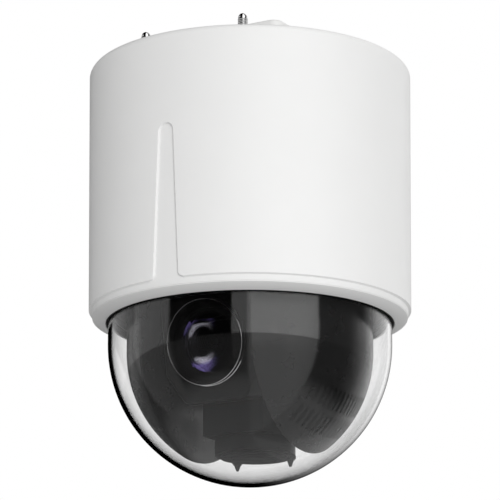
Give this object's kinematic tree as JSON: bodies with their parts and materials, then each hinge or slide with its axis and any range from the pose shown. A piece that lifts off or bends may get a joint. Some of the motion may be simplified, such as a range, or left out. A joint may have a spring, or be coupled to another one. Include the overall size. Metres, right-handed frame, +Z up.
{
  "type": "ptz camera",
  "caption": "Ceiling-hung pan and tilt dome camera: white drum housing with studs and a cable box on top, clear dome below, dark turning shroud and a tilting lens head inside.",
  "frame": {"origin": "centre of the cover's top face, the face that meets the ceiling, in the middle of the four ceiling studs", "axes": "+Z up out of the ceiling face, along the studs and the pan axis; -Y is the front, where the cover's groove is and where the lens looks at rest; +X is along the tilt axis"},
  "size_m": [0.1926, 0.1926, 0.2719],
  "materials": {
    "white_cover": "fine satin white paint",
    "white_plastic": "satin moulded white",
    "trim_white": "satin moulded white",
    "clear_dome": "clear polished plastic dome",
    "black_rubber": "matt black",
    "steel": "zinc plated",
    "chrome": "polished",
    "aluminium": "cast, light bead blast",
    "smoke_shroud": "glossy smoke black",
    "black_plastic": "fine satin black",
    "head_plastic": "semi gloss black",
    "board_green": "solder resist",
    "chip_black": "moulded",
    "brass": "turned",
    "belt_rubber": "toothed",
    "lens_glass": "coated lens glass",
    "silver_ring": "bright turned"
  },
  "bodies": {
    "housing": {"outer_cover": "white_cover", "cover_screws": "steel", "cable_box": "white_plastic", "box_screws": "steel", "top_plate": "steel", "ceiling_studs": "chrome", "frame_posts": "brass", "main_board": "board_green", "board_spacers": "brass", "network_socket": "steel", "power_terminal": "board_green", "board_components": "chip_black", "heat_sink": "aluminium", "chassis_plate": "aluminium", "bearing_housing": "aluminium", "pan_bearing_outer": "steel", "slip_ring_body": "black_plastic", "pan_motor": "black_plastic", "pan_belt": "belt_rubber", "ring_posts": "aluminium", "trim_ring": "trim_white", "dome_gasket": "black_rubber", "dome_bubble": "clear_dome", "dome_clamp_ring": "steel", "clamp_screws": "steel"},
    "pan_drive": {"pan_pinion": "steel"},
    "pan_unit": {"pan_hub": "aluminium", "pan_bearing_inner": "steel", "bearing_balls": "chrome", "pan_pulley": "black_plastic", "pan_platform": "black_plastic", "platform_screws": "steel", "slip_ring_rotor": "black_plastic", "side_shroud_left": "smoke_shroud", "side_shroud_right": "smoke_shroud", "front_brow": "smoke_shroud", "rear_shroud": "smoke_shroud", "yoke_arm_left": "black_plastic", "yoke_arm_right": "black_plastic", "tilt_bushes": "brass", "driver_board": "board_green", "fan_frame": "black_plastic", "tilt_motor": "black_plastic", "tilt_belt": "belt_rubber"},
    "fan_spinner": {"fan_rotor": "black_plastic"},
    "tilt_drive": {"tilt_pinion": "brass"},
    "camera_head": {"tilt_pulley": "black_plastic", "trunnion_shafts": "steel", "module_bracket": "black_plastic", "front_cover": "head_plastic", "rear_cover": "head_plastic", "bottom_cap": "head_plastic", "lens_barrel": "black_plastic", "guide_rods": "steel", "sensor_board": "board_green", "front_element": "lens_glass", "lens_ring": "silver_ring"},
    "zoom_slider": {"zoom_group": "lens_glass"},
    "focus_slider": {"focus_group": "lens_glass"},
    "filter_slider": {"ir_filter": "black_plastic"}
  },
  "joints": [
    {"name": "pan", "type": "hinge", "parent": "housing", "child": "pan_unit", "pos_m": [0, 0, -0.1], "axis": [0, 0, 1], "continuous": true},
    {"name": "pan_motor_spin", "type": "hinge", "parent": "housing", "child": "pan_drive", "pos_m": [0, 0.058, -0.1], "axis": [0, 0, 1], "continuous": true},
    {"name": "tilt", "type": "hinge", "parent": "pan_unit", "child": "camera_head", "pos_m": [0, 0, -0.1664], "axis": [1, 0, 0], "range_deg": [-15, 80]},
    {"name": "tilt_motor_spin", "type": "hinge", "parent": "pan_unit", "child": "tilt_drive", "pos_m": [0, 0, -0.134], "axis": [1, 0, 0], "range_deg": [-62, 322]},
    {"name": "fan_spin", "type": "hinge", "parent": "pan_unit", "child": "fan_spinner", "pos_m": [0, 0, -0.1717], "axis": [0.7986, 0, -0.6018], "continuous": true},
    {"name": "zoom", "type": "slide", "parent": "camera_head", "child": "zoom_slider", "axis": [0, -0.9848, -0.1736], "range_m": [-0.004, 0.02]},
    {"name": "focus", "type": "slide", "parent": "camera_head", "child": "focus_slider", "axis": [0, -0.9848, -0.1736], "range_m": [-0.004, 0.005]},
    {"name": "filter_shift", "type": "slide", "parent": "camera_head", "child": "filter_slider", "axis": [1, 0, 0], "range_m": [0, 0.0086]}
  ],
  "couplings": [
    {"joint": "pan_motor_spin", "follows": "pan", "ratio": 6.6667},
    {"joint": "tilt_motor_spin", "follows": "tilt", "ratio": 4}
  ]
}
